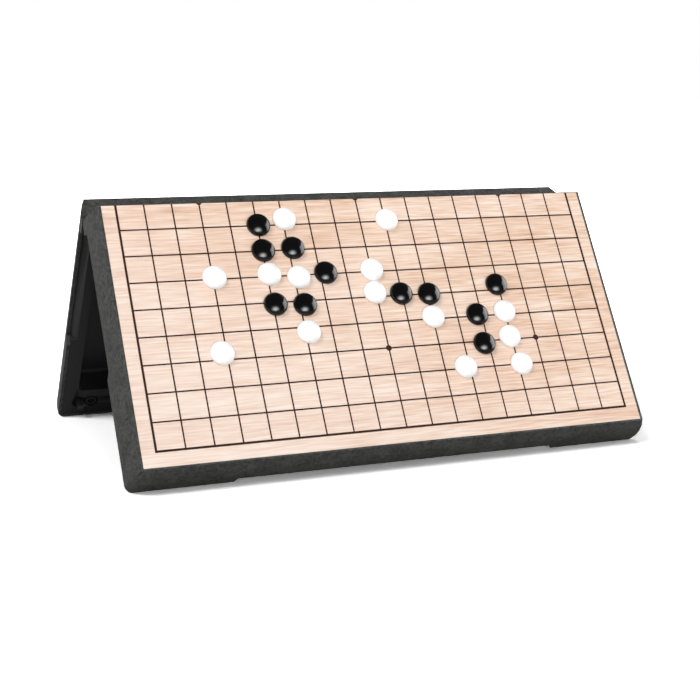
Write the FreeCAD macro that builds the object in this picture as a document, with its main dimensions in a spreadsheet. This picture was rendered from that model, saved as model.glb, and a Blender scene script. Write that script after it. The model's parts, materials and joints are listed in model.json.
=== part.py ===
"""Folding magnetic go board, standing open as a tent.

Two identical hinged half cases carry a playing sheet on a steel plate outside
and a stone tray inside. Lengths are in millimetres, angles in degrees.

Frame of the whole board: X runs along the fold, Y to the back and Z up. The
origin is on the ground under the fold axis.

Frame of one half: the origin is on the fold axis, Y runs from the far edge up
to the fold, z = 0 is the plane where two closed halves meet, and Z points out
of the playing face.
"""
import FreeCAD, Part

import math
import os
import re

import Sketcher

doc = FreeCAD.newDocument("folding_go_board")

# ---------------------------------------------------------------- driving dimensions

sizes = doc.addObject("Spreadsheet::Sheet", "Sizes")
DIMENSIONS = {
    # playing sheet and the steel under it
    "grid_pitch": 14.5,
    "rows_per_half": 9,
    "sheet_side_margin": 7.25,
    "sheet_front_margin": 7.8,
    "sheet_fold_margin": 0.5,
    "sheet_thickness": 0.3,
    "plate_thickness": 0.5,
    "plate_inset": 0.8,
    "sheet_clearance": 0.15,
    # moulded half case
    "border_width": 1.3,
    "front_border_width": 0.9,
    "case_depth": 19.0,
    "side_flare": 4.4,
    "front_flare": 4.8,
    "face_corner_radius": 0.8,
    "rim_corner_radius": 4.0,
    "inner_corner_radius": 1.5,
    "wall_thickness": 1.9,
    "face_thickness": 1.8,
    "fold_clearance": 0.1,
    # finger grips cut in the rim
    "grip_depth": 4.35,
    "grip_slant": 1.5,
    "grip_bevel": 3.4,
    "front_grip_length": 176.0,
    "side_grip_start": 9.0,
    "side_grip_length": 74.0,
    "side_grip_slant": 3.4,
    # fold hinge
    "knuckle_radius": 3.4,
    "knuckle_length": 7.5,
    "knuckle_gap": 0.3,
    "knuckle_inset": 2.3,
    "hinge_relief": 0.4,
    "pin_radius": 1.25,
    "pin_clearance": 0.05,
    # stone tray
    "tray_clearance": 0.2,
    "ledge_thickness": 6.0,
    "ledge_side_width": 7.9,
    "ledge_front_width": 18.3,
    "ledge_fold_width": 9.0,
    "tray_wall": 1.8,
    "tray_floor": 1.5,
    "tray_draft": 2.0,
    "tray_corner_radius": 3.0,
    "tray_floor_radius": 2.0,
    # closing pegs and sockets
    "peg_radius": 1.8,
    "peg_reach": 5.5,
    "peg_tip_radius": 1.0,
    "peg_end_distance": 9.2,
    "peg_spacing": 7.0,
    "well_radius": 4.2,
    "well_depth": 4.0,
    "socket_wall": 1.0,
    "socket_recess": 0.3,
    "socket_clearance": 0.15,
    "socket_floor": 1.2,
    # tray screws and the posts that take them
    "screw_spacing": 120.0,
    "screw_radius": 1.3,
    "screw_length": 9.0,
    "screw_point_length": 1.4,
    "screw_head_radius": 2.3,
    "screw_head_height": 1.6,
    "screw_head_recess": 0.7,
    "screw_clearance": 0.05,
    "post_radius": 2.8,
    "post_gap": 0.1,
    # stones
    "stone_radius": 6.35,
    "stone_height": 4.2,
    "stone_edge_height": 1.1,
    "stone_edge_bevel": 0.7,
    "stone_foot_bevel": 0.35,
    "magnet_radius": 3.0,
    "magnet_thickness": 1.5,
    "magnet_clearance": 0.05,
    # standing tent
    "lean_angle": 33.0,
}
for row, (alias, number) in enumerate(DIMENSIONS.items(), start=1):
    sizes.set(f"A{row}", alias)
    sizes.set(f"B{row}", str(number))
    sizes.setAlias(f"B{row}", alias)
doc.recompute()

# Each stone by its place on the front half, in grid lines: columns from the left
# edge line and rows down from the fold. Hand-placed, so a little off the crossings.
BLACK_STONES = [
    (5.03, 1.0), (5.02, 2.0), (6.15, 1.95), (7.2, 2.98), (5.08, 4.08), (6.17, 4.16),
    (9.95, 3.95), (11.05, 4.02), (13.9, 3.8), (12.8, 4.95), (12.8, 6.1),
]
WHITE_STONES = [
    (6.05, 0.8), (3.05, 2.95), (5.07, 2.93), (6.15, 3.1), (6.1, 5.2), (2.83, 5.77), (10.05, 0.97),
    (9.0, 2.95), (8.93, 3.85), (11.0, 4.93), (13.95, 4.9), (13.9, 5.9), (14.1, 7.0), (11.82, 6.95),
]
LEFT, RIGHT = -1, 1


def val(text):
    """An expression with each bare dimension name pointed at the sheet."""
    return re.sub(r"\b[a-z]+(?:_[a-z]+)+\b", lambda found: f"Sizes.{found.group()}", text)


def number(text):
    """The value of an expression in millimetres."""
    result = sizes.evalExpression(val(text))
    return float(getattr(result, "Value", result))


# ---------------------------------------------------------------- derived places

# The playing sheet, and the case face around it.
SHEET_HALF = "(grid_pitch * rows_per_half + sheet_side_margin)"
SHEET_FRONT = "(grid_pitch * rows_per_half + sheet_front_margin)"
SHEET_FOLD = "(fold_clearance + sheet_fold_margin)"
FACE_HALF = f"({SHEET_HALF} + sheet_clearance + border_width)"
FACE_FRONT = f"({SHEET_FRONT} + front_border_width)"
FACE_Z = "(fold_clearance + case_depth)"
RECESS_DEPTH = "(sheet_thickness + plate_thickness)"
CEILING_Z = f"({FACE_Z} - {RECESS_DEPTH} - face_thickness)"
RIM_HALF = f"({FACE_HALF} + side_flare)"
RIM_FRONT = f"({FACE_FRONT} + front_flare)"


def bow(flare, height):
    """How far a bowed wall has come in at a height: it rises square from the rim, in an arc."""
    radius = f"((case_depth ^ 2 + {flare} ^ 2) / (2 * {flare}))"
    return f"({radius} - sqrt({radius} ^ 2 - ({height}) ^ 2))"


def half_width(height, inset="0"):
    """Half the width of the bowed case at a height over the rim, less an inset."""
    return f"({RIM_HALF} - {bow('side_flare', height)} - ({inset}))"


def front_reach(height, inset="0"):
    """How far the bowed front wall stands from the fold axis at a height."""
    return f"({RIM_FRONT} - {bow('front_flare', height)} - ({inset}))"


# The tray's ledge lies in the rim, and its basin is sunk between the ledge's bands.
TRAY_INSET = "(wall_thickness + tray_clearance)"
BASIN_HALF = f"({RIM_HALF} - {TRAY_INSET} - ledge_side_width)"
BASIN_FRONT = f"({RIM_FRONT} - {TRAY_INSET} - ledge_front_width)"
BASIN_FOLD = f"(fold_clearance + {TRAY_INSET} + ledge_fold_width)"
TRAY_BACK_Z = f"({CEILING_Z} - tray_clearance)"
BASIN_FLOOR_Z = f"({TRAY_BACK_Z} - tray_floor)"
LEDGE_BACK_Z = "(fold_clearance + ledge_thickness)"

# Pegs and sockets stand on the middle line of the ledge's front band.
LATCH_Y = f"({BASIN_FRONT} + ledge_front_width / 2)"
LATCH_OUTER = f"({RIM_HALF} - {TRAY_INSET} - peg_end_distance)"
LATCH_INNER = f"({LATCH_OUTER} - peg_spacing)"
SOCKET_BORE = "(peg_radius + socket_clearance)"
SOCKET_DEPTH = "(peg_reach + socket_clearance + fold_clearance)"

# Screws stand in the fold band and the front band, left and right.
SCREW_ROWS = (f"({TRAY_INSET} + (ledge_fold_width - tray_wall) / 2)", LATCH_Y)
SCREW_HOLE = "(screw_radius + screw_clearance)"
SCREW_SEAT_Z = "(fold_clearance + screw_head_height + screw_head_recess)"

# Hinge: three knuckles at each end, counted from the end towards the middle.
KNUCKLE_STEP = "(knuckle_length + knuckle_gap)"
HINGE_END = f"({FACE_HALF} - knuckle_inset)"
HINGE_SPAN = "(3 * knuckle_length + 2 * knuckle_gap)"
HINGE_INNER = f"({HINGE_END} - {HINGE_SPAN} - knuckle_gap)"
RELIEF_RADIUS = "(knuckle_radius + hinge_relief)"

# A half turns from level by this angle to lean, and the fold axis then stands this high.
TILT = "(90 - lean_angle)"
AXIS_HEIGHT = (
    f"({RIM_FRONT} * cos(lean_angle * 1 deg) - fold_clearance * sin(lean_angle * 1 deg))"
)

# Cutting shapes run this far past the solid that they cut.
OVERRUN = "1"
# The bowed walls rise in this many straight steps.
WALL_STEPS = 4

# ---------------------------------------------------------------- drawing helpers


def new_body(name):
    body = doc.addObject("PartDesign::Body", name)
    body.Label = name
    return body


def sketch_on(body, name, role, offset="0"):
    """A sketch on one of the body's own origin planes, moved along its normal."""
    sketch = body.newObject("Sketcher::SketchObject", f"{body.Name}_{name}")
    plane = next(item for item in body.Origin.OriginFeatures if item.Role == role)
    sketch.AttachmentSupport = (plane, [""])
    sketch.MapMode = "FlatFace"
    sketch.setExpression("AttachmentOffset.Base.z", val(offset))
    return sketch


def bind(sketch, kind, *args):
    """Add a dimension whose value is an expression, the last argument."""
    *places, text = args
    index = sketch.addConstraint(Sketcher.Constraint(kind, *places, number(text)))
    sketch.setExpression(f"Constraints[{index}]", val(text))


def pin_point(sketch, geometry, end, x, y):
    """Fix one point of a curve at two expressions from the sketch's origin."""
    bind(sketch, "DistanceX", -1, 1, geometry, end, x)
    bind(sketch, "DistanceY", -1, 1, geometry, end, y)


def vector(x, y):
    return FreeCAD.Vector(number(x), number(y), 0)


def draw_polygon(sketch, points):
    """A closed outline of straight lines through points given as expressions."""
    first = sketch.GeometryCount
    count = len(points)
    for index, point in enumerate(points):
        after = points[(index + 1) % count]
        sketch.addGeometry(Part.LineSegment(vector(*point), vector(*after)), False)
    for index, point in enumerate(points):
        before = first + (index - 1) % count
        sketch.addConstraint(Sketcher.Constraint("Coincident", before, 2, first + index, 1))
        pin_point(sketch, first + index, 1, *point)


def draw_circle(sketch, x, y, radius):
    up = FreeCAD.Vector(0, 0, 1)
    index = sketch.addGeometry(Part.Circle(vector(x, y), up, number(radius)), False)
    pin_point(sketch, index, 3, x, y)
    bind(sketch, "Radius", index, radius)


def draw_tub(sketch, half, near, far, radius, round_near=False):
    """A rectangle across the fold with its far corners rounded, or all four.

    half is half its width; near and far are its distances from the fold axis.
    """
    top = [(f"-{half}", f"-{near}"), (half, f"-{near}")]
    low = [(half, f"-{far}"), (f"-{half}", f"-{far}")]
    round_at = [round_near, round_near, True, True]
    draw_rounded(sketch, top + low, round_at, radius)


def draw_rounded(sketch, corners, round_at, radius):
    """An axis-aligned box, clockwise from its near left corner, with some corners rounded."""
    steps = [(1, 0), (0, -1), (-1, 0), (0, 1)]
    reach = number(radius)
    places = [vector(*point) for point in corners]
    ways = [FreeCAD.Vector(x, y, 0) for x, y in steps]
    cuts = [reach if rounded else 0 for rounded in round_at]
    first = sketch.GeometryCount
    for index in range(4):
        after = (index + 1) % 4
        start = places[index] + ways[index] * cuts[index]
        end = places[after] - ways[index] * cuts[after]
        sketch.addGeometry(Part.LineSegment(start, end), False)
    for index, way in enumerate(ways):
        kind = "Horizontal" if way.y == 0 else "Vertical"
        sketch.addConstraint(Sketcher.Constraint(kind, first + index))
    for index in range(4):
        before = first + (index - 1) % 4
        if not round_at[index]:
            sketch.addConstraint(Sketcher.Constraint("Coincident", before, 2, first + index, 1))
            continue
        centre = places[index] + (ways[index] - ways[index - 1]) * reach
        low = math.radians([90, 0, 270, 180][index])
        circle = Part.Circle(centre, FreeCAD.Vector(0, 0, 1), reach)
        arc = sketch.addGeometry(Part.ArcOfCircle(circle, low, low + math.pi / 2), False)
        sketch.addConstraint(Sketcher.Constraint("Tangent", before, 2, arc, 2))
        sketch.addConstraint(Sketcher.Constraint("Tangent", arc, 1, first + index, 1))
        bind(sketch, "Radius", arc, radius)
    bind(sketch, "DistanceY", -1, 1, first, 1, corners[0][1])
    bind(sketch, "DistanceX", -1, 1, first + 1, 1, corners[1][0])
    bind(sketch, "DistanceY", -1, 1, first + 2, 1, corners[2][1])
    bind(sketch, "DistanceX", -1, 1, first + 3, 1, corners[3][0])


def feature(body, kind, name, profile):
    item = body.newObject(f"PartDesign::{kind}", f"{body.Name}_{name}")
    item.Profile = profile
    return item


def pad(body, name, profile, length, reverse=False, midplane=False):
    item = feature(body, "Pad", name, profile)
    item.setExpression("Length", val(length))
    item.Reversed = reverse
    item.Midplane = midplane
    doc.recompute()
    return item


def cut(body, name, profile, length, reverse=False, midplane=False):
    """A pocket that must take material away."""
    before = body.Shape.Volume
    item = feature(body, "Pocket", name, profile)
    item.setExpression("Length", val(length))
    item.Reversed = reverse
    item.Midplane = midplane
    doc.recompute()
    if body.Shape.Volume >= before:
        raise RuntimeError(f"{item.Name} cuts nothing")
    return item


def loft(body, kind, name, profiles):
    """Straight-sided steps from each profile to the next."""
    first, *others = profiles
    item = feature(body, kind, name, first)
    item.Sections = [(profile, [""]) for profile in others]
    item.Ruled = True
    doc.recompute()
    return item


def dress_edges(body, kind, name, size, z):
    """A fillet or a chamfer on every edge of the body that lies wholly at height z."""
    base = body.Tip
    names = []
    for index, edge in enumerate(base.Shape.Edges, start=1):
        heights = [edge.CenterOfMass.z] + [vertex.Point.z for vertex in edge.Vertexes]
        if all(abs(height - number(z)) < 1e-4 for height in heights):
            names.append(f"Edge{index}")
    item = body.newObject(f"PartDesign::{kind}", f"{body.Name}_{name}")
    item.Base = (base, names)
    item.setExpression("Radius" if kind == "Fillet" else "Size", val(size))
    doc.recompute()
    return item


def stand(item, rear=False):
    """Lean a half, or something in a half's frame, as one side of the tent."""
    across = FreeCAD.Vector(1, 0, 0)
    turn = FreeCAD.Rotation(across, number(TILT))
    if rear:
        turn = FreeCAD.Rotation(FreeCAD.Vector(0, 0, 1), 180) * turn
    item.Placement = FreeCAD.Placement(FreeCAD.Vector(), turn)
    if rear:
        item.setExpression("Placement.Rotation.Axis.x", "0")
        item.setExpression("Placement.Rotation.Axis.y", val(f"sin({TILT} / 2 * 1 deg)"))
        item.setExpression("Placement.Rotation.Axis.z", val(f"cos({TILT} / 2 * 1 deg)"))
    else:
        item.setExpression("Placement.Rotation.Angle", val(f"{TILT} * 1 deg"))
    item.setExpression("Placement.Base.z", val(AXIS_HEIGHT))


# ---------------------------------------------------------------- half case


def build_case(name, rear):
    """One moulded half case: bowed walls, sheet recess, grips, knuckles and posts."""
    body = new_body(name)

    outer, inner = [], []
    inner_near = "(fold_clearance + wall_thickness)"
    for step in range(WALL_STEPS + 1):
        height = f"(case_depth * {step} / {WALL_STEPS})"
        radius = f"(rim_corner_radius + (face_corner_radius - rim_corner_radius) * {step} / {WALL_STEPS})"
        level = sketch_on(body, f"outer_{step}", "XY_Plane", f"(fold_clearance + {height})")
        draw_tub(level, half_width(height), "fold_clearance", front_reach(height), radius)
        outer.append(level)

        height = f"(({CEILING_Z} - fold_clearance) * {step} / {WALL_STEPS})"
        reach = front_reach(height, "wall_thickness")
        level = sketch_on(body, f"inner_{step}", "XY_Plane", f"(fold_clearance + {height})")
        draw_tub(level, half_width(height, "wall_thickness"), inner_near, reach, "inner_corner_radius")
        inner.append(level)
    loft(body, "AdditiveLoft", "block", outer)
    loft(body, "SubtractiveLoft", "hollow", inner)

    recess = sketch_on(body, "recess", "XY_Plane", FACE_Z)
    half = f"({SHEET_HALF} + sheet_clearance)"
    fold = f"({SHEET_FOLD} - sheet_clearance)"
    front = f"({SHEET_FRONT} + sheet_clearance)"
    draw_polygon(
        recess,
        [(f"-{half}", f"-{fold}"), (half, f"-{fold}"), (half, f"-{front}"), (f"-{half}", f"-{front}")],
    )
    cut(body, "sheet_recess", recess, RECESS_DEPTH)

    add_grips(body)
    add_posts(body)
    add_hinge(body)
    stand(body, rear)
    return body


def add_grips(body):
    """Finger grips: the front rim and both side rims are cut back, with slanted ends."""
    below = f"(-{OVERRUN})"
    top = "(fold_clearance + grip_depth)"
    deeper = f"(1 + ({OVERRUN} + fold_clearance) / grip_depth)"
    slant = f"(grip_slant * {deeper})"

    front = sketch_on(body, "front_grip", "XZ_Plane", f"({RIM_FRONT} + {OVERRUN})")
    half = "(front_grip_length / 2)"
    wide = f"({half} + {slant})"
    draw_polygon(front, [(f"-{half}", top), (half, top), (wide, below), (f"-{wide}", below)])
    cut(body, "front_grip_cut", front, f"front_flare + wall_thickness + 2 * {OVERRUN}")

    side = sketch_on(body, "side_grip", "YZ_Plane")
    start = "(side_grip_start)"
    end = "(side_grip_start + side_grip_length)"
    draw_polygon(
        side,
        [
            (f"-{start}", top),
            (f"-({start} - {slant})", below),
            (f"-({end} + side_grip_slant * {deeper})", below),
            (f"-{end}", top),
        ],
    )
    cut(body, "side_grip_cut", side, f"2 * ({RIM_HALF} + {OVERRUN})", midplane=True)


def add_posts(body):
    """Four posts under the face take the tray's screws."""
    bottom = f"({LEDGE_BACK_Z} + post_gap)"
    posts = sketch_on(body, "posts", "XY_Plane", bottom)
    holes = sketch_on(body, "post_holes", "XY_Plane", bottom)
    for side in (LEFT, RIGHT):
        for row in SCREW_ROWS:
            draw_circle(posts, f"{side} * screw_spacing / 2", f"-{row}", "post_radius")
            draw_circle(holes, f"{side} * screw_spacing / 2", f"-{row}", SCREW_HOLE)
    pad(body, "screw_posts", posts, f"{CEILING_Z} - {bottom}")
    depth = f"{SCREW_SEAT_Z} + screw_length + screw_clearance - {bottom}"
    cut(body, "pilot_holes", holes, depth, reverse=True)


def add_hinge(body):
    """Knuckles on the fold axis: the outer two at the right end, the middle one at the left.

    The other half, turned about, brings the knuckles that fill the gaps.
    """
    cut_hinge_relief(body)
    for side, slots in ((RIGHT, (0, 2)), (LEFT, (1,))):
        word = "right" if side == RIGHT else "left"
        for slot in slots:
            outer = f"{side} * ({HINGE_END} - {slot} * {KNUCKLE_STEP})"
            barrel = sketch_on(body, f"{word}_barrel_{slot}", "YZ_Plane", outer)
            draw_circle(barrel, "0", "0", "knuckle_radius")
            pad(body, f"{word}_knuckle_{slot}", barrel, "knuckle_length", reverse=side == RIGHT)
            web = sketch_on(body, f"{word}_web_{slot}", "YZ_Plane", outer)
            near, far = "-fold_clearance", "-(fold_clearance + wall_thickness)"
            low, high = "fold_clearance", f"({RELIEF_RADIUS} + {OVERRUN})"
            draw_polygon(web, [(near, low), (near, high), (far, high), (far, low)])
            pad(body, f"{word}_web_pad_{slot}", web, "knuckle_length", reverse=side == RIGHT)
    bore = sketch_on(body, "pin_bore", "YZ_Plane")
    draw_circle(bore, "0", "0", "(pin_radius + pin_clearance)")
    cut(body, "pin_bore_cut", bore, f"2 * ({RIM_HALF} + {OVERRUN})", midplane=True)


def cut_hinge_relief(body):
    """Clear the space in which the knuckles turn, at both ends of the fold."""
    for side, word in ((RIGHT, "right"), (LEFT, "left")):
        relief = sketch_on(body, f"{word}_relief", "YZ_Plane", f"{side} * {HINGE_INNER}")
        draw_circle(relief, "0", "0", RELIEF_RADIUS)
        length = f"{HINGE_SPAN} + 2 * knuckle_gap"
        cut(body, f"{word}_relief_cut", relief, length, reverse=side == RIGHT)


# ---------------------------------------------------------------- stone tray


def build_tray(name, rear):
    """The liner of one half: a ledge that fills the rim round a basin for stones."""
    body = new_body(name)
    near = f"(fold_clearance + {TRAY_INSET})"

    ledge = sketch_on(body, "ledge", "XY_Plane", "fold_clearance")
    draw_tub(ledge, half_width("0", TRAY_INSET), near, front_reach("0", TRAY_INSET), "inner_corner_radius")
    back = sketch_on(body, "ledge_back", "XY_Plane", LEDGE_BACK_Z)
    reach = front_reach("ledge_thickness", TRAY_INSET)
    draw_tub(back, half_width("ledge_thickness", TRAY_INSET), near, reach, "inner_corner_radius")
    loft(body, "AdditiveLoft", "ledge_block", [ledge, back])

    basin = sketch_on(body, "basin", "XY_Plane", LEDGE_BACK_Z)
    draw_tub(
        basin,
        f"({BASIN_HALF} + tray_wall)",
        f"({BASIN_FOLD} - tray_wall)",
        f"({BASIN_FRONT} + tray_wall)",
        "(tray_corner_radius + tray_wall)",
        round_near=True,
    )
    pad(body, "basin_block", basin, f"{TRAY_BACK_Z} - {LEDGE_BACK_Z}")

    mouth = sketch_on(body, "mouth", "XY_Plane", "fold_clearance")
    draw_tub(mouth, BASIN_HALF, BASIN_FOLD, BASIN_FRONT, "tray_corner_radius", round_near=True)
    hollow = cut(body, "hollow", mouth, f"{BASIN_FLOOR_Z} - fold_clearance", reverse=True)
    hollow.setExpression("TaperAngle", val("-tray_draft * 1 deg"))
    doc.recompute()
    dress_edges(body, "Fillet", "floor_round", "tray_floor_radius", BASIN_FLOOR_Z)

    add_bevels(body)
    add_latches(body)
    add_screw_seats(body)
    cut_hinge_relief(body)
    stand(body, rear)
    return body


def add_bevels(body):
    """Behind each finger grip the ledge slopes back, so fingers get under the rim."""
    low = "fold_clearance"
    high = "(fold_clearance + grip_depth)"

    sides = sketch_on(body, "side_bevel", "XZ_Plane", "side_grip_start")
    for side in (LEFT, RIGHT):
        inner = f"{side} * ({half_width('0', TRAY_INSET)} - grip_bevel)"
        outer = f"{side} * {half_width('grip_depth', TRAY_INSET)}"
        edge = f"{side} * {RIM_HALF}"
        draw_polygon(sides, [(inner, low), (outer, high), (edge, high), (edge, low)])
    cut(body, "side_bevel_cut", sides, "side_grip_length", reverse=True)

    front = sketch_on(body, "front_bevel", "YZ_Plane")
    inner = f"-({front_reach('0', TRAY_INSET)} - grip_bevel)"
    outer = f"-{front_reach('grip_depth', TRAY_INSET)}"
    edge = f"-{RIM_FRONT}"
    draw_polygon(front, [(inner, low), (outer, high), (edge, high), (edge, low)])
    cut(body, "front_bevel_cut", front, "front_grip_length", midplane=True)


def add_latches(body):
    """A peg and a socket at each end; the pairs swap places from one end to the other."""
    pegs = (LATCH_OUTER, f"-{LATCH_INNER}")
    sockets = (LATCH_INNER, f"-{LATCH_OUTER}")
    for word, places in (("peg", pegs), ("socket", sockets)):
        well = sketch_on(body, f"{word}_wells", "XY_Plane", "fold_clearance")
        for x in places:
            draw_circle(well, x, f"-{LATCH_Y}", "well_radius")
        cut(body, f"{word}_wells_cut", well, "well_depth", reverse=True)

    peg = sketch_on(body, "pegs", "XY_Plane", "(-peg_reach)")
    for x in pegs:
        draw_circle(peg, x, f"-{LATCH_Y}", "peg_radius")
    pad(body, "pegs_pad", peg, "peg_reach + fold_clearance + well_depth")
    dress_edges(body, "Fillet", "peg_tips", "peg_tip_radius", "(-peg_reach)")

    socket = sketch_on(body, "sockets", "XY_Plane", "(fold_clearance + socket_recess)")
    bore = sketch_on(body, "socket_bores", "XY_Plane", "fold_clearance")
    for x in sockets:
        draw_circle(socket, x, f"-{LATCH_Y}", f"({SOCKET_BORE} + socket_wall)")
        draw_circle(bore, x, f"-{LATCH_Y}", SOCKET_BORE)
    pad(body, "sockets_pad", socket, f"{SOCKET_DEPTH} + socket_floor - socket_recess")
    cut(body, "socket_bores_cut", bore, SOCKET_DEPTH, reverse=True)


def add_screw_seats(body):
    """Counterbored holes in the ledge, one over each post of the case."""
    heads = sketch_on(body, "screw_heads", "XY_Plane", "fold_clearance")
    shanks = sketch_on(body, "screw_shanks", "XY_Plane", "fold_clearance")
    for side in (LEFT, RIGHT):
        for row in SCREW_ROWS:
            x, y = f"{side} * screw_spacing / 2", f"-{row}"
            draw_circle(heads, x, y, "(screw_head_radius + tray_clearance)")
            draw_circle(shanks, x, y, SCREW_HOLE)
    cut(body, "screw_seats", heads, f"{SCREW_SEAT_Z} - fold_clearance", reverse=True)
    cut(body, "screw_holes", shanks, "ledge_thickness", reverse=True)


# ---------------------------------------------------------------- sheet, plate, pins, screws


def build_slab(name, rear, bottom, thickness, inset):
    """A thin sheet in the face recess: the printed sheet, or the steel under it."""
    body = new_body(name)
    outline = sketch_on(body, "outline", "XY_Plane", bottom)
    half = f"({SHEET_HALF} - {inset})"
    fold = f"({SHEET_FOLD} + {inset})"
    front = f"({SHEET_FRONT} - {inset})"
    draw_polygon(
        outline,
        [(f"-{half}", f"-{fold}"), (half, f"-{fold}"), (half, f"-{front}"), (f"-{half}", f"-{front}")],
    )
    pad(body, "pad", outline, thickness)
    stand(body, rear)
    return body


def turn_profile(body, points, axis):
    """Revolve a closed outline about its sketch's upright or level axis."""
    profile = sketch_on(body, "profile", "XZ_Plane")
    draw_polygon(profile, points)
    turned = feature(body, "Revolution", "turned", profile)
    turned.ReferenceAxis = (profile, [axis])
    doc.recompute()
    return turned


def build_pin(name, side):
    """A steel hinge pin with chamfered ends, through three knuckles."""
    body = new_body(name)
    outer = f"{side} * {HINGE_END}"
    inner = f"{side} * ({HINGE_END} - {HINGE_SPAN})"
    chamfer = "pin_radius / 4"
    points = [
        (outer, "0"),
        (outer, f"pin_radius - {chamfer}"),
        (f"{outer} - {side} * {chamfer}", "pin_radius"),
        (f"{inner} + {side} * {chamfer}", "pin_radius"),
        (inner, f"pin_radius - {chamfer}"),
        (inner, "0"),
    ]
    turn_profile(body, points, "H_Axis")
    body.setExpression("Placement.Base.z", val(AXIS_HEIGHT))
    return body


def build_screw():
    """The tray's self-tapping screw: its seat is at z = 0 and its point is up."""
    body = new_body("tray_screw")
    shoulder = "screw_head_height / 2"
    points = [
        ("0", "-screw_head_height"),
        ("screw_head_radius * 0.6", "-screw_head_height"),
        ("screw_head_radius", f"-{shoulder}"),
        ("screw_head_radius", "0"),
        ("screw_radius", "0"),
        ("screw_radius", "screw_length - screw_point_length"),
        ("0", "screw_length"),
    ]
    turn_profile(body, points, "V_Axis")
    cross = sketch_on(body, "cross", "XY_Plane", "(-screw_head_height)")
    arm, half = "screw_head_radius * 0.5", "screw_head_radius * 0.12"
    draw_polygon(
        cross,
        [
            (half, half), (half, arm), (f"-{half}", arm), (f"-{half}", half),
            (f"-{arm}", half), (f"-{arm}", f"-{half}"), (f"-{half}", f"-{half}"), (f"-{half}", f"-{arm}"),
            (half, f"-{arm}"), (half, f"-{half}"), (arm, f"-{half}"), (arm, half),
        ],
    )
    cut(body, "cross_cut", cross, "screw_head_height / 2", reverse=True)
    return body


def copy_of(items, name, x="0", y="0", z="0"):
    """One placed group of the given objects."""
    group = doc.addObject("Part::Compound", name)
    group.Label = name
    group.Links = items
    group.setExpression("Placement.Base.x", val(x))
    group.setExpression("Placement.Base.y", val(y))
    group.setExpression("Placement.Base.z", val(z))
    return group


def build_screws(name, rear, screw):
    """The four screws of one tray, in one group."""
    placed = []
    for side in (LEFT, RIGHT):
        for row in SCREW_ROWS:
            place = (f"{side} * screw_spacing / 2", f"-{row}", SCREW_SEAT_Z)
            placed.append(copy_of([screw], f"{name}_{len(placed) + 1}", *place))
    group = copy_of(placed, name)
    stand(group, rear)
    return group


# ---------------------------------------------------------------- stones


def build_stone_cap():
    """A single-convex stone: flat underneath, domed above, with a magnet pocket."""
    body = new_body("stone_cap")
    profile = sketch_on(body, "profile", "XZ_Plane")
    lines = [
        (("0", "0"), ("stone_radius", "0")),
        (("stone_radius", "0"), ("stone_radius", "stone_edge_height")),
        (("0", "stone_height"), ("0", "0")),
    ]
    for start, end in lines:
        profile.addGeometry(Part.LineSegment(vector(*start), vector(*end)), False)
    rise = number("stone_height - stone_edge_height")
    wide = number("stone_radius")
    dome_radius = (wide**2 + rise**2) / (2 * rise)
    centre = FreeCAD.Vector(0, number("stone_height") - dome_radius, 0)
    start = math.asin((dome_radius - rise) / dome_radius)
    circle = Part.Circle(centre, FreeCAD.Vector(0, 0, 1), dome_radius)
    profile.addGeometry(Part.ArcOfCircle(circle, start, math.pi / 2), False)
    profile.addConstraint(Sketcher.Constraint("Coincident", 0, 2, 1, 1))
    profile.addConstraint(Sketcher.Constraint("Coincident", 1, 2, 3, 1))
    profile.addConstraint(Sketcher.Constraint("Coincident", 3, 2, 2, 1))
    profile.addConstraint(Sketcher.Constraint("Coincident", 2, 2, 0, 1))
    profile.addConstraint(Sketcher.Constraint("PointOnObject", 3, 3, -2))
    pin_point(profile, 0, 1, "0", "0")
    pin_point(profile, 1, 1, "stone_radius", "0")
    pin_point(profile, 1, 2, "stone_radius", "stone_edge_height")
    pin_point(profile, 2, 1, "0", "stone_height")
    turned = feature(body, "Revolution", "turned", profile)
    turned.ReferenceAxis = (profile, ["V_Axis"])
    doc.recompute()
    dress_edges(body, "Chamfer", "edge_bevel", "stone_edge_bevel", "stone_edge_height")
    dress_edges(body, "Chamfer", "foot_bevel", "stone_foot_bevel", "0")
    pocket = sketch_on(body, "magnet_pocket", "XY_Plane")
    draw_circle(pocket, "0", "0", "magnet_radius + magnet_clearance")
    cut(body, "magnet_pocket_cut", pocket, "magnet_thickness + 2 * magnet_clearance", reverse=True)
    return body


def build_magnet():
    magnet = doc.addObject("Part::Cylinder", "stone_magnet")
    magnet.setExpression("Radius", val("magnet_radius"))
    magnet.setExpression("Height", val("magnet_thickness"))
    magnet.setExpression("Placement.Base.z", val("magnet_clearance"))
    return magnet


def place_stone(name, pieces, column, row):
    """A stone on the front half's playing sheet, at a column and a row of the grid."""
    up = f"(-({row}) * grid_pitch)"
    lean = "(lean_angle * 1 deg)"
    stone = copy_of(
        pieces,
        name,
        f"({column} - rows_per_half) * grid_pitch",
        f"{up} * sin{lean} - {FACE_Z} * cos{lean}",
        f"{AXIS_HEIGHT} + {up} * cos{lean} + {FACE_Z} * sin{lean}",
    )
    stone.Placement.Rotation = FreeCAD.Rotation(FreeCAD.Vector(1, 0, 0), number(TILT))
    stone.setExpression("Placement.Rotation.Angle", val(f"{TILT} * 1 deg"))
    return stone


# ---------------------------------------------------------------- assembly and export

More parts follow.
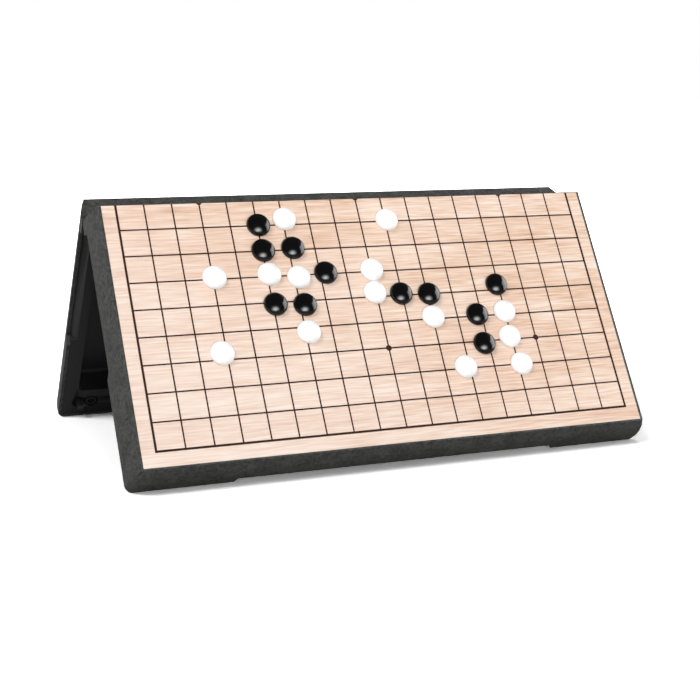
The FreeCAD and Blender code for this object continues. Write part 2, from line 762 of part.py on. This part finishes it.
parts = []
screw = build_screw()
for word, rear in (("front", False), ("rear", True)):
    sheet_z = f"({FACE_Z} - sheet_thickness)"
    plate_z = f"({FACE_Z} - {RECESS_DEPTH})"
    parts.append(build_case(f"{word}_case", rear))
    parts.append(build_slab(f"{word}_steel_plate", rear, plate_z, "plate_thickness", "plate_inset"))
    parts.append(build_slab(f"{word}_playing_sheet", rear, sheet_z, "sheet_thickness", "0"))
    parts.append(build_tray(f"{word}_tray", rear))
    parts.append(build_screws(f"{word}_tray_screws", rear, screw))
parts.append(build_pin("left_hinge_pin", LEFT))
parts.append(build_pin("right_hinge_pin", RIGHT))

stone_pieces = [build_stone_cap(), build_magnet()]
for colour, places in (("black", BLACK_STONES), ("white", WHITE_STONES)):
    for index, (column, row) in enumerate(places, start=1):
        parts.append(place_stone(f"{colour}_stone_{index:02d}", stone_pieces, column, row))

doc.recompute()
for item in doc.Objects:
    if "Invalid" in item.State or "Error" in item.State:
        raise RuntimeError(f"{item.Name} failed: {item.State}")
for item in parts:
    if item.Shape.isNull() or not item.Shape.isValid():
        raise RuntimeError(f"{item.Label} has no valid shape")

os.makedirs("parts", exist_ok=True)
for item in parts:
    item.Shape.exportStep(f"parts/{item.Label}.step")
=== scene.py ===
"""Folding magnetic go board, standing as a tent: its finishes, print and stones.

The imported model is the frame. Sizes of the object are in millimetres until a mesh
is placed, and a half's own frame has its origin on the fold axis, Y up the slope to
the fold and Z out of the playing face. The studio is in metres.
"""

import json
import math

import bmesh
import bpy
from mathutils import Matrix, Vector


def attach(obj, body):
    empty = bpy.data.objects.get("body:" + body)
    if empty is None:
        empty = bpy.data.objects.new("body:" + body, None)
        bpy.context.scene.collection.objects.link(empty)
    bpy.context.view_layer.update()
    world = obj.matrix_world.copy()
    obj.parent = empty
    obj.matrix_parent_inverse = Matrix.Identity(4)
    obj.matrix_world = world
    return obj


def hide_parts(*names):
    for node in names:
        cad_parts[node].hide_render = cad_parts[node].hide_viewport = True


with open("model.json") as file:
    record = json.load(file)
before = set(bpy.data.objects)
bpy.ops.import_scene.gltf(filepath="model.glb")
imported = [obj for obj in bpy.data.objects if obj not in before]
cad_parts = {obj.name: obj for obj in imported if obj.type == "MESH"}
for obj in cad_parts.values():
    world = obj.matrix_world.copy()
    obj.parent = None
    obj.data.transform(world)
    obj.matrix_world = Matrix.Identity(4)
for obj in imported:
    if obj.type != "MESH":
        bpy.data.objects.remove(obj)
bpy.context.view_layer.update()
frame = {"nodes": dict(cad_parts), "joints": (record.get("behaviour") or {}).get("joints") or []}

NODES = frame["nodes"]
MM = 0.001

# ---------------------------------------------------------------- places read from the frame

fold = next(joint for joint in frame["joints"] if joint["name"] == "fold_hinge")
FOLD_AXIS = Vector(fold["pos_m"])
lift = next(joint for joint in frame["joints"] if joint["name"] == "white_stone_01_lift")
FACE_OUT = Vector(lift["axis"])
FACE_TURN = math.atan2(-FACE_OUT.y, FACE_OUT.z)

FRONT = Matrix.Translation(FOLD_AXIS) @ Matrix.Rotation(FACE_TURN, 4, "X") @ Matrix.Scale(MM, 4)
REAR = Matrix.Rotation(math.pi, 4, "Z") @ FRONT
HALVES = {"front": FRONT, "rear": REAR}


def half_box(node, place):
    """Lowest and highest corner of a CAD node in its half's own frame, in millimetres."""
    back = place.inverted()
    points = [back @ vertex.co for vertex in NODES[node].data.vertices]
    low = Vector([min(point[axis] for point in points) for axis in range(3)])
    high = Vector([max(point[axis] for point in points) for axis in range(3)])
    return low, high


# The sheet is 18 cells wide with half a cell of margin at each side.
SHEET_LOW, SHEET_HIGH = half_box("front_playing_sheet", FRONT)
CELLS = 18
PITCH = (SHEET_HIGH.x - SHEET_LOW.x) / (CELLS + 1)
ROWS = 9
FACE_Z = SHEET_HIGH.z

# ---------------------------------------------------------------- sizes of what is added

INNER_LINE = 0.8
BORDER_LINE = 1.2
INK_FILM = 0.03
STAR_FILM = 1.3 * INK_FILM
STAR_RADIUS = 1.6
STAR_COLUMNS = (3, 9, 15)
STAR_ROWS = (0, 6)
STAR_SIDES = 40

# Beech tones over the grain's noise, from the dark flecks to the pale ground.
WOOD_TONES = [(0.35, "#d0a184"), (0.45, "#dfbca3"), (0.53, "#e9ceba"), (0.63, "#f2e0d3")]
# Each layer of grain: its share, and its lengths along X, Y and Z. Flecks are 0.9 mm wide and
# 18 mm long, streaks 2 mm by 36 mm, and the bands of the board 16 mm by 120 mm.
GRAIN_LAYERS = ((0.5, (18, 0.9, 18)), (0.25, (36, 2.0, 36)), (0.25, (120, 16, 120)))
# The grain wanders sideways by up to 3 mm over these lengths.
WANDER_LENGTHS = (70, 20, 70)
WANDER_REACH = (0, 3, 0)
# Painted sheen: the print's colour is mixed towards a near-white tone along this way of a half,
# between these places, by this share. It stands in for a broad sheen of light on the lower left of
# each face.
SHEEN_WAY = (-0.6, -0.8, 0)
SHEEN_FROM = -25
SHEEN_TO = 190
SHEEN_SHARE = 0.4
SHEEN_TONE = "#f6ece6"

# Spacing of the case's pebbles, grit and cloudy patches, and the patches' share in its tone.
PEBBLE = 1.1
GRIT = 1.7
PATCH = 7
PATCH_SHARE = 0.3
ABS_TONES = [(0.45, "#181918"), (0.85, "#525350")]
# Grain of the tray, ripple that polishing leaves on a stone, and lengths of the steel's marks.
TRAY_GRAIN = 0.5
STONE_RIPPLE = 3
DRAWN_MARKS = (6, 0.2, 0.2)

STONE_ARC_STEPS = 12
STONE_ROUND_STEPS = 64
STONE_SHOULDER = 2.3
STONE_FOOT_BEVEL = 0.35
STONE_EDGE = 0.7
MAGNET_RADIUS = 3.0
MAGNET_POCKET = 1.6
MAGNET_GAP = 0.05
MAGNET_BEVEL = 0.15
MAGNET_SIDES = 48

# Angles in degrees up to which an edge shades smooth, on mouldings and on turned pieces.
MOULDING_SMOOTH = 24
TURNED_SMOOTH = 50
# Points of a mesh nearer than this are one.
SAME_POINT = 0.001

# ---------------------------------------------------------------- node and mesh helpers


def srgb(text):
    """A linear colour from a written sRGB hex value."""
    channels = [int(text[i:i + 2], 16) / 255 for i in (1, 3, 5)]
    linear = [c / 12.92 if c <= 0.04045 else ((c + 0.055) / 1.055) ** 2.4 for c in channels]
    return (*linear, 1.0)


def add(tree, kind, inputs=None, stops=(), **settings):
    """Add a node with its settings; an input is a value, or a socket that is linked to it.

    The stops of a colour ramp are pairs of place and hex colour.
    """
    node = tree.nodes.new(kind)
    for name, value in settings.items():
        setattr(node, name, value)
    for key, value in (inputs or {}).items():
        if isinstance(value, bpy.types.NodeSocket):
            tree.links.new(value, node.inputs[key])
        else:
            node.inputs[key].default_value = value
    for index, (place, colour) in enumerate(stops):
        elements = node.color_ramp.elements
        point = elements[index] if index < len(elements) else elements.new(place)
        point.position = place
        point.color = srgb(colour)
    return node


def new_material(name, **surface):
    """A Principled material; surface values are written with _ for each space."""
    material = bpy.data.materials.new(name)
    material.use_nodes = True
    shader = material.node_tree.nodes["Principled BSDF"]
    for key, value in surface.items():
        socket = shader.inputs[key.replace("_", " ")]
        if isinstance(value, str):
            value = srgb(value)
        socket.default_value = value
    return material, material.node_tree, shader


def millimetres(tree, place=None):
    """Object coordinates in millimetres, turned into a half's own frame if it is given."""
    place = place or Matrix.Scale(MM, 4)
    back = place.inverted()
    coordinates = add(tree, "ShaderNodeTexCoord")
    turned = add(
        tree,
        "ShaderNodeMapping",
        {
            "Vector": coordinates.outputs["Object"],
            "Location": back.to_translation(),
            "Rotation": back.to_euler(),
            "Scale": back.to_scale(),
        },
    )
    return turned.outputs["Vector"]


def per_length(lengths):
    """Factors by which a coordinate in millimetres grows by one over each length."""
    return [1 / length for length in lengths]


def paint(piece, material):
    piece.data.materials.clear()
    piece.data.materials.append(material)


def finish_piece(mesh, name, place, body, material, replaces=()):
    """Turn a bmesh in a half's frame into a piece in its place that rides on a body."""
    mesh.transform(place)
    bmesh.ops.recalc_face_normals(mesh, faces=mesh.faces)
    data = bpy.data.meshes.new(name)
    mesh.to_mesh(data)
    mesh.free()
    piece = bpy.data.objects.new(name, data)
    bpy.context.scene.collection.objects.link(piece)
    paint(piece, material)
    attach(piece, body)
    if replaces:
        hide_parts(*replaces)
    return piece


def smooth(piece, angle):
    """Smooth shading, with edges sharper than the angle kept crisp."""
    chosen = {"object": piece, "active_object": piece, "selected_editable_objects": [piece]}
    with bpy.context.temp_override(**chosen):
        bpy.ops.object.shade_smooth_by_angle(angle=math.radians(angle))


def soften(name, body, material):
    """A joined-up copy of a moulding, so that its bowed walls shade as curves."""
    mesh = bmesh.new()
    mesh.from_mesh(NODES[name].data)
    bmesh.ops.remove_doubles(mesh, verts=mesh.verts, dist=SAME_POINT * MM)
    moulding = finish_piece(mesh, f"{name}_moulding", Matrix(), body, material, [name])
    smooth(moulding, MOULDING_SMOOTH)


# ---------------------------------------------------------------- materials


def pebbled_abs():
    """Charcoal ABS, injection moulded in a spark-eroded tool: matt, mottled with fine pebbles.

    The real pebbles are about 0.3 mm wide; they are drawn coarser than that so that they show.
    """
    material, tree, shader = new_material("pebbled_charcoal_abs", Roughness=0.52, IOR=1.53)
    place = millimetres(tree)
    pebble = add(
        tree,
        "ShaderNodeTexVoronoi",
        {"Vector": place, "Scale": 1 / PEBBLE},
        feature="SMOOTH_F1",
    )
    grit = add(
        tree,
        "ShaderNodeTexNoise",
        {"Vector": place, "Scale": 1 / GRIT, "Detail": 4.0, "Roughness": 0.7},
    )
    patches = add(tree, "ShaderNodeTexNoise", {"Vector": place, "Scale": 1 / PATCH})
    tone = add(
        tree,
        "ShaderNodeMath",
        {0: patches.outputs["Fac"], 1: PATCH_SHARE, 2: grit.outputs["Fac"]},
        operation="MULTIPLY_ADD",
    )
    colour = add(tree, "ShaderNodeValToRGB", {"Fac": tone.outputs[0]}, stops=ABS_TONES)
    tree.links.new(colour.outputs["Color"], shader.inputs["Base Color"])
    coarse = add(
        tree,
        "ShaderNodeBump",
        {"Height": pebble.outputs["Distance"], "Strength": 0.8, "Distance": 0.2 * MM},
    )
    fine = add(
        tree,
        "ShaderNodeBump",
        {
            "Height": grit.outputs["Fac"],
            "Strength": 0.5,
            "Distance": 0.08 * MM,
            "Normal": coarse.outputs["Normal"],
        },
    )
    tree.links.new(fine.outputs["Normal"], shader.inputs["Normal"])
    return material


def satin_abs():
    """The tray's black ABS, moulded in a fine matt tool: smoother and more even than the case, and
    darker than it, partly as its own black and partly as painted shade for the tray's hollow.

    The real grain is about 0.1 mm; it is drawn coarser so that it shows.
    """
    # The base colour is partly the tray's own black and partly painted shade, darkened for the
    # shade that falls inside the case.
    material, tree, shader = new_material(
        "satin_black_abs_and_painted_shade", Base_Color="#232424", Roughness=0.42, IOR=1.53
    )
    grain = add(
        tree, "ShaderNodeTexNoise", {"Vector": millimetres(tree), "Scale": 1 / TRAY_GRAIN}
    )
    bump = add(
        tree,
        "ShaderNodeBump",
        {"Height": grain.outputs["Fac"], "Strength": 0.35, "Distance": 0.05 * MM},
    )
    tree.links.new(bump.outputs["Normal"], shader.inputs["Normal"])
    return material


def wood_print_and_sheen(name, place):
    """Beech grain printed on PVC film under a satin laminate: short soft flecks along the fold,
    and a painted sheen that whitens the colour towards the lower left.
    """
    material, tree, shader = new_material(name, Roughness=0.45, IOR=1.5)
    spot = millimetres(tree, place)
    stretch = add(
        tree,
        "ShaderNodeVectorMath",
        {0: spot, 1: per_length(WANDER_LENGTHS)},
        operation="MULTIPLY",
    )
    wander = add(
        tree, "ShaderNodeTexNoise", {"Vector": stretch.outputs["Vector"], "Scale": 1.0}
    )
    shift = add(
        tree,
        "ShaderNodeVectorMath",
        {0: wander.outputs["Color"], 1: WANDER_REACH, 2: spot},
        operation="MULTIPLY_ADD",
    )
    grain = 0.0
    for share, lengths in GRAIN_LAYERS:
        stretch = add(
            tree,
            "ShaderNodeVectorMath",
            {0: shift.outputs["Vector"], 1: per_length(lengths)},
            operation="MULTIPLY",
        )
        layer = add(
            tree,
            "ShaderNodeTexNoise",
            {"Vector": stretch.outputs["Vector"], "Scale": 1.0, "Detail": 3.0},
        )
        grain = add(
            tree,
            "ShaderNodeMath",
            {0: layer.outputs["Fac"], 1: share, 2: grain},
            operation="MULTIPLY_ADD",
        ).outputs[0]
    wood = add(tree, "ShaderNodeValToRGB", {"Fac": grain}, stops=WOOD_TONES)
    # Painted sheen: towards the lower left the wood colour is mixed with a near-white tone,
    # standing in for a broad sheen of light.
    along = add(tree, "ShaderNodeVectorMath", {0: spot, 1: SHEEN_WAY}, operation="DOT_PRODUCT")
    rise = add(
        tree,
        "ShaderNodeMapRange",
        {"Value": along.outputs["Value"], "From Min": SHEEN_FROM, "From Max": SHEEN_TO},
        interpolation_type="SMOOTHSTEP",
    )
    painted_sheen = add(
        tree,
        "ShaderNodeMath",
        {0: rise.outputs["Result"], 1: SHEEN_SHARE},
        operation="MULTIPLY",
    )
    colour = add(
        tree,
        "ShaderNodeMix",
        {"Factor": painted_sheen.outputs[0], "A": wood.outputs["Color"], "B": srgb(SHEEN_TONE)},
        data_type="RGBA",
    )
    tree.links.new(colour.outputs["Result"], shader.inputs["Base Color"])
    return material


def print_ink():
    """Dark brown screen-printing ink: matt, so that the lines stay dark against the satin film."""
    return new_material("brown_black_ink", Base_Color="#371f15", Roughness=0.7, IOR=1.3)[0]


def polished_plastic(name, colour, roughness):
    """Stone plastic, compression moulded and tumble polished: glossy, its lights soft-edged."""
    material, tree, shader = new_material(name, Base_Color=colour, Roughness=roughness, IOR=1.5)
    ripple = add(
        tree, "ShaderNodeTexNoise", {"Vector": millimetres(tree), "Scale": 1 / STONE_RIPPLE}
    )
    bump = add(
        tree,
        "ShaderNodeBump",
        {"Height": ripple.outputs["Fac"], "Strength": 0.1, "Distance": 0.03 * MM},
    )
    tree.links.new(bump.outputs["Normal"], shader.inputs["Normal"])
    return material


def plated_steel(name, colour, roughness):
    """Drawn or rolled steel with a thin nickel or tin plate: bright, with faint marks along X.

    The real marks are a few hundredths of a millimetre wide; they are drawn coarser to show.
    """
    material, tree, shader = new_material(
        name, Base_Color=colour, Metallic=1.0, Roughness=roughness
    )
    stretch = add(
        tree,
        "ShaderNodeVectorMath",
        {0: millimetres(tree), 1: per_length(DRAWN_MARKS)},
        operation="MULTIPLY",
    )
    marks = add(tree, "ShaderNodeTexNoise", {"Vector": stretch.outputs["Vector"], "Scale": 1.0})
    bump = add(
        tree,
        "ShaderNodeBump",
        {"Height": marks.outputs["Fac"], "Strength": 0.2, "Distance": 0.01 * MM},
    )
    tree.links.new(bump.outputs["Normal"], shader.inputs["Normal"])
    return material


CASE_ABS = pebbled_abs()
TRAY_ABS_AND_SHADE = satin_abs()
INK = print_ink()
BLACK_STONE = polished_plastic("polished_black_stone", "#060607", 0.14)
WHITE_STONE = polished_plastic("polished_white_stone", "#fbfbfb", 0.25)
NICKEL = plated_steel("nickel_plated_steel", "#b9b6b0", 0.28)
TIN_PLATE = plated_steel("tin_plate", "#a9abad", 0.35)

# ---------------------------------------------------------------- printed grid


def rectangle(mesh, low, high, z):
    corners = [(low[0], low[1]), (high[0], low[1]), (high[0], high[1]), (low[0], high[1])]
    return mesh.faces.new([mesh.verts.new((x, y, z)) for x, y in corners])


def slice_lines(mesh, places, widths, axis):
    """Cut the mesh along both sides of each line that is square to the axis."""
    normal = [0, 0, 0]
    normal[axis] = 1
    for place, width in zip(places, widths):
        for side in (-1, 1):
            point = [0, 0, 0]
            point[axis] = place + side * width / 2
            everything = mesh.verts[:] + mesh.edges[:] + mesh.faces[:]
            bmesh.ops.bisect_plane(mesh, geom=everything, plane_co=point, plane_no=normal)


def raise_film(mesh, height):
    """Give flat faces the thickness of the ink."""
    raised = bmesh.ops.extrude_face_region(mesh, geom=mesh.faces[:], use_keep_orig=True)
    verts = [item for item in raised["geom"] if isinstance(item, bmesh.types.BMVert)]
    bmesh.ops.translate(mesh, verts=verts, vec=(0, 0, height))


def on_a_line(place, lines, widths):
    return any(abs(place - line) < width / 2 for line, width in zip(lines, widths))


def print_grid(word, place):
    """The printed lines of one half, in one film of ink."""
    columns = [(index - CELLS / 2) * PITCH for index in range(CELLS + 1)]
    rows = [-index * PITCH for index in range(ROWS + 1)]
    column_widths = [BORDER_LINE, *[INNER_LINE] * (CELLS - 1), BORDER_LINE]
    row_widths = [BORDER_LINE, *[INNER_LINE] * (ROWS - 1), BORDER_LINE]
    reach = (columns[-1] + BORDER_LINE / 2, rows[-1] - BORDER_LINE / 2)

    mesh = bmesh.new()
    rectangle(mesh, (-reach[0], reach[1]), (reach[0], SHEET_HIGH.y), FACE_Z)
    slice_lines(mesh, columns, column_widths, 0)
    slice_lines(mesh, rows, row_widths, 1)
    bare = []
    for face in mesh.faces:
        middle = face.calc_center_median()
        in_column = on_a_line(middle.x, columns, column_widths)
        if not in_column and not on_a_line(middle.y, rows, row_widths):
            bare.append(face)
    bmesh.ops.delete(mesh, geom=bare, context="FACES")
    raise_film(mesh, INK_FILM)
    finish_piece(mesh, f"{word}_grid_lines", place, f"{word}_half", INK)


def print_star_points(word, place):
    """Star points on row six, and half ones that the fold cuts."""
    mesh = bmesh.new()
    for column in STAR_COLUMNS:
        for row in STAR_ROWS:
            spot = Matrix.Translation(((column - CELLS / 2) * PITCH, -row * PITCH, FACE_Z))
            bmesh.ops.create_circle(
                mesh, cap_ends=True, segments=STAR_SIDES, radius=STAR_RADIUS, matrix=spot
            )
    everything = mesh.verts[:] + mesh.edges[:] + mesh.faces[:]
    bmesh.ops.bisect_plane(
        mesh,
        geom=everything,
        plane_co=(0, SHEET_HIGH.y, 0),
        plane_no=(0, 1, 0),
        clear_outer=True,
    )
    raise_film(mesh, STAR_FILM)
    finish_piece(mesh, f"{word}_star_points", place, f"{word}_half", INK)


# ---------------------------------------------------------------- stones


def stone_profile(radius, height):
    """Half the outline of a stone, from the middle of its foot up to its crown.

    The shoulder is an arc that rises upright from the edge and runs smoothly into the crown's.
    """
    shoulder = STONE_SHOULDER
    inner = radius - shoulder
    rise = height - STONE_EDGE
    crown = (rise**2 + inner**2 - shoulder**2) / (2 * (rise - shoulder))
    crown_z = height - crown
    meet = math.atan2(STONE_EDGE - crown_z, inner)
    points = [(MAGNET_RADIUS + MAGNET_GAP, MAGNET_POCKET), (MAGNET_RADIUS + MAGNET_GAP, 0)]
    points += [(radius - STONE_FOOT_BEVEL, 0), (radius, STONE_FOOT_BEVEL)]
    for step in range(STONE_ARC_STEPS + 1):
        angle = meet * step / STONE_ARC_STEPS
        across = inner + shoulder * math.cos(angle)
        points.append((across, STONE_EDGE + shoulder * math.sin(angle)))
    for step in range(1, STONE_ARC_STEPS + 1):
        angle = meet + (math.pi / 2 - meet) * step / STONE_ARC_STEPS
        points.append((crown * math.cos(angle), crown_z + crown * math.sin(angle)))
    return [(0, MAGNET_POCKET)] + points


def turn_stone(name, material):
    """A polished cap with its magnet in the foot, where the CAD stone is."""
    low, high = half_box(name, FRONT)
    radius = (high.x - low.x) / 2
    centre = Matrix.Translation(((low.x + high.x) / 2, (low.y + high.y) / 2, low.z))
    mesh = bmesh.new()
    verts = [mesh.verts.new((x, 0, z)) for x, z in stone_profile(radius, high.z - low.z)]
    edges = [mesh.edges.new(pair) for pair in zip(verts, verts[1:])]
    bmesh.ops.spin(
        mesh,
        geom=verts + edges,
        cent=(0, 0, 0),
        axis=(0, 0, 1),
        angle=2 * math.pi,
        steps=STONE_ROUND_STEPS,
        use_merge=True,
    )
    bmesh.ops.remove_doubles(mesh, verts=mesh.verts, dist=SAME_POINT)
    cap = finish_piece(mesh, f"{name}_cap", FRONT @ centre, name, material, [name])
    smooth(cap, TURNED_SMOOTH)

    mesh = bmesh.new()
    length = MAGNET_POCKET - 2 * MAGNET_GAP
    bmesh.ops.create_cone(
        mesh,
        cap_ends=True,
        segments=MAGNET_SIDES,
        radius1=MAGNET_RADIUS,
        radius2=MAGNET_RADIUS,
        depth=length,
    )
    rims = [edge for edge in mesh.edges if any(len(face.verts) > 4 for face in edge.link_faces)]
    bmesh.ops.bevel(
        mesh,
        geom=rims,
        offset=MAGNET_BEVEL,
        affect="EDGES",
        segments=2,
        profile=0.5,
        material=-1,
    )
    bmesh.ops.translate(mesh, verts=mesh.verts, vec=(0, 0, MAGNET_GAP + length / 2))
    place = FRONT @ centre
    magnet = finish_piece(mesh, f"{name}_magnet", place, name, NICKEL, [name])
    smooth(magnet, TURNED_SMOOTH)


# ---------------------------------------------------------------- dress every part

for word, place in HALVES.items():
    soften(f"{word}_case", f"{word}_half", CASE_ABS)
    soften(f"{word}_tray", f"{word}_half", TRAY_ABS_AND_SHADE)
    paint(NODES[f"{word}_tray_screws"], NICKEL)
    paint(NODES[f"{word}_steel_plate"], TIN_PLATE)
    paint(NODES[f"{word}_playing_sheet"], wood_print_and_sheen(f"{word}_wood_print_and_sheen", place))
    print_grid(word, place)
    print_star_points(word, place)
for word in ("left", "right"):
    paint(NODES[f"{word}_hinge_pin"], NICKEL)
for name in sorted(NODES):
    if name.startswith("black_stone"):
        turn_stone(name, BLACK_STONE)
    elif name.startswith("white_stone"):
        turn_stone(name, WHITE_STONE)

# ---------------------------------------------------------------- studio

CAMERA_PLACE = (-0.30114, -0.71688, 0.20445)
CAMERA_RIGHT = Vector((0.92046, -0.39062, 0.01262))
CAMERA_FORWARD = Vector((0.38501, 0.90074, -0.20108))
LENS = 73.14
SENSOR_WIDTH = 36
CLIP_END = 50
FLOOR_SIZE = 12.0
# The paper's answer to other rays, and to the camera, which is to see open paper pure white.
PAPER_LEVEL = 0.35
PAPER_SEEN = 1.7
# The paper's shadows fade out between these distances from the board, in metres.
PAPER_NEAR = 0.3
PAPER_FAR = 0.8
# A white wall fills the side of the room on this heading, behind and to the right. Its upright
# edge fades in from WALL_FROM to WALL_IN, and its top fades out from WALL_FULL to WALL_TOP.
WALL_HEADING = math.radians(72)
WALL_SIDE = Vector((math.cos(WALL_HEADING), math.sin(WALL_HEADING), 0))
WALL_FROM = -0.04
WALL_IN = 0.06
WALL_TOP = 0.56
WALL_FULL = 0.44
WALL_LEVEL = 0.8
# A low window glows softly in front, wider than it is high and brightest in its middle.
WINDOW_WAY = (0.0, -0.99, 0.14)
WINDOW_SQUASH = (1, 1, 1.4)
WINDOW_REACH = 0.6
WINDOW_FOCUS = 1.6
WINDOW_LEVEL = 13.5
ROOM_LEVEL = 0.08
BOARD_MIDDLE = (0, 0, 0.05)
# Name, place, aim, width and height, watts, and the rays that don't see it. The softboxes
# light the object; the card is there for the crescents of light on the stones.
LAMPS = (
    ("overhead_softbox", (-2.09, -1.14, 3.0), BOARD_MIDDLE, (1.1, 1.1), 70, "visible_glossy"),
    ("left_softbox", (-2.64, -0.3, 1.4), BOARD_MIDDLE, (1.6, 1.2), 16, "visible_glossy"),
    ("right_softbox", (2.1, -1.6, 2.3), BOARD_MIDDLE, (2.0, 1.6), 9, "visible_glossy"),
    ("back_softbox", (0.6, 2.4, 2.0), BOARD_MIDDLE, (2.0, 1.6), 45, "visible_glossy"),
    ("glow_card", (1.3, 0.9, 0.5), (0, 0.9, 0.5), (3.4, 1.0), 42, "visible_diffuse"),
)


def add_camera():
    camera = bpy.data.objects.new("camera", bpy.data.cameras.new("camera"))
    camera.data.lens = LENS
    camera.data.sensor_width = SENSOR_WIDTH
    camera.data.clip_end = CLIP_END
    up = CAMERA_RIGHT.cross(CAMERA_FORWARD)
    turn = Matrix((CAMERA_RIGHT, up, -CAMERA_FORWARD)).transposed()
    camera.matrix_world = Matrix.Translation(CAMERA_PLACE) @ turn.to_4x4()
    bpy.context.scene.collection.objects.link(camera)
    bpy.context.scene.camera = camera


def add_lamp(name, place, aim, size, watts, hidden_from):
    """A rectangular lamp that the camera and one other kind of ray don't see."""
    lamp = bpy.data.lights.new(name, "AREA")
    lamp.shape = "RECTANGLE"
    lamp.size, lamp.size_y = size
    lamp.energy = watts
    softbox = bpy.data.objects.new(name, lamp)
    softbox.location = place
    way = Vector(aim) - Vector(place)
    softbox.rotation_euler = way.to_track_quat("-Z", "Y").to_euler()
    softbox.visible_camera = False
    setattr(softbox, hidden_from, False)
    bpy.context.scene.collection.objects.link(softbox)


def add_floor():
    """White paper that keeps the object's shadow and is pure white in full light."""
    mesh = bmesh.new()
    bmesh.ops.create_grid(mesh, x_segments=1, y_segments=1, size=FLOOR_SIZE / 2)
    data = bpy.data.meshes.new("floor")
    mesh.to_mesh(data)
    mesh.free()
    floor = bpy.data.objects.new("floor", data)
    bpy.context.scene.collection.objects.link(floor)
    material = bpy.data.materials.new("white_paper")
    material.use_nodes = True
    tree = material.node_tree
    tree.nodes.clear()
    to_camera = add(tree, "ShaderNodeLightPath").outputs["Is Camera Ray"]
    level = add(
        tree,
        "ShaderNodeMix",
        {"Factor": to_camera, "A": PAPER_LEVEL, "B": PAPER_SEEN},
        data_type="FLOAT",
    )
    paper = add(tree, "ShaderNodeBsdfDiffuse", {"Color": level.outputs["Result"]})
    spot = add(tree, "ShaderNodeTexCoord").outputs["Object"]
    distance = add(tree, "ShaderNodeVectorMath", {0: spot}, operation="LENGTH").outputs["Value"]
    far = add(
        tree,
        "ShaderNodeMapRange",
        {"Value": distance, "From Min": PAPER_NEAR, "From Max": PAPER_FAR},
        interpolation_type="SMOOTHSTEP",
    ).outputs["Result"]
    lift_up = add(tree, "ShaderNodeMath", {0: far, 1: to_camera}, operation="MULTIPLY")
    glow = add(tree, "ShaderNodeEmission", {"Strength": lift_up.outputs[0]})
    both = add(tree, "ShaderNodeAddShader", {0: paper.outputs[0], 1: glow.outputs[0]})
    add(tree, "ShaderNodeOutputMaterial", {"Surface": both.outputs[0]})
    data.materials.append(material)


def add_world():
    """A dim room with a white wall and a window; the camera sees white all round."""
    world = bpy.data.worlds.new("studio")
    world.use_nodes = True
    tree = world.node_tree
    tree.nodes.clear()
    way = add(tree, "ShaderNodeTexCoord").outputs["Generated"]
    height = add(tree, "ShaderNodeSeparateXYZ", {"Vector": way}).outputs["Z"]
    side = add(tree, "ShaderNodeVectorMath", {0: way, 1: WALL_SIDE}, operation="DOT_PRODUCT")
    beside = add(
        tree,
        "ShaderNodeMapRange",
        {"Value": side.outputs["Value"], "From Min": WALL_FROM, "From Max": WALL_IN},
        interpolation_type="SMOOTHSTEP",
    )
    under = add(
        tree,
        "ShaderNodeMapRange",
        {"Value": height, "From Min": WALL_TOP, "From Max": WALL_FULL},
        interpolation_type="SMOOTHSTEP",
    )
    wall = add(
        tree,
        "ShaderNodeMath",
        {0: beside.outputs["Result"], 1: under.outputs["Result"]},
        operation="MULTIPLY",
    )
    room = add(
        tree,
        "ShaderNodeMix",
        {"Factor": wall.outputs[0], "A": ROOM_LEVEL, "B": WALL_LEVEL},
        data_type="FLOAT",
    )
    aside = add(tree, "ShaderNodeVectorMath", {0: way, 1: WINDOW_WAY}, operation="SUBTRACT")
    squashed = add(
        tree,
        "ShaderNodeVectorMath",
        {0: aside.outputs["Vector"], 1: WINDOW_SQUASH},
        operation="MULTIPLY",
    )
    off_centre = add(
        tree, "ShaderNodeVectorMath", {0: squashed.outputs["Vector"]}, operation="LENGTH"
    )
    closeness = add(
        tree,
        "ShaderNodeMapRange",
        {"Value": off_centre.outputs["Value"], "From Min": WINDOW_REACH, "From Max": 0.0},
        interpolation_type="SMOOTHSTEP",
    )
    window = add(
        tree,
        "ShaderNodeMath",
        {0: closeness.outputs["Result"], 1: WINDOW_FOCUS},
        operation="POWER",
    )
    lit = add(
        tree,
        "ShaderNodeMath",
        {0: window.outputs[0], 1: WINDOW_LEVEL, 2: room.outputs["Result"]},
        operation="MULTIPLY_ADD",
    )
    to_camera = add(tree, "ShaderNodeLightPath").outputs["Is Camera Ray"]
    level = add(
        tree,
        "ShaderNodeMix",
        {"Factor": to_camera, "A": lit.outputs[0], "B": 1.0},
        data_type="FLOAT",
    )
    glow = add(
        tree,
        "ShaderNodeBackground",
        {"Color": srgb("#ffffff"), "Strength": level.outputs["Result"]},
    )
    add(tree, "ShaderNodeOutputWorld", {"Surface": glow.outputs[0]})
    bpy.context.scene.world = world


add_camera()
add_floor()
add_world()
for lamp in LAMPS:
    add_lamp(*lamp)
bpy.context.scene.view_settings.view_transform = "Standard"
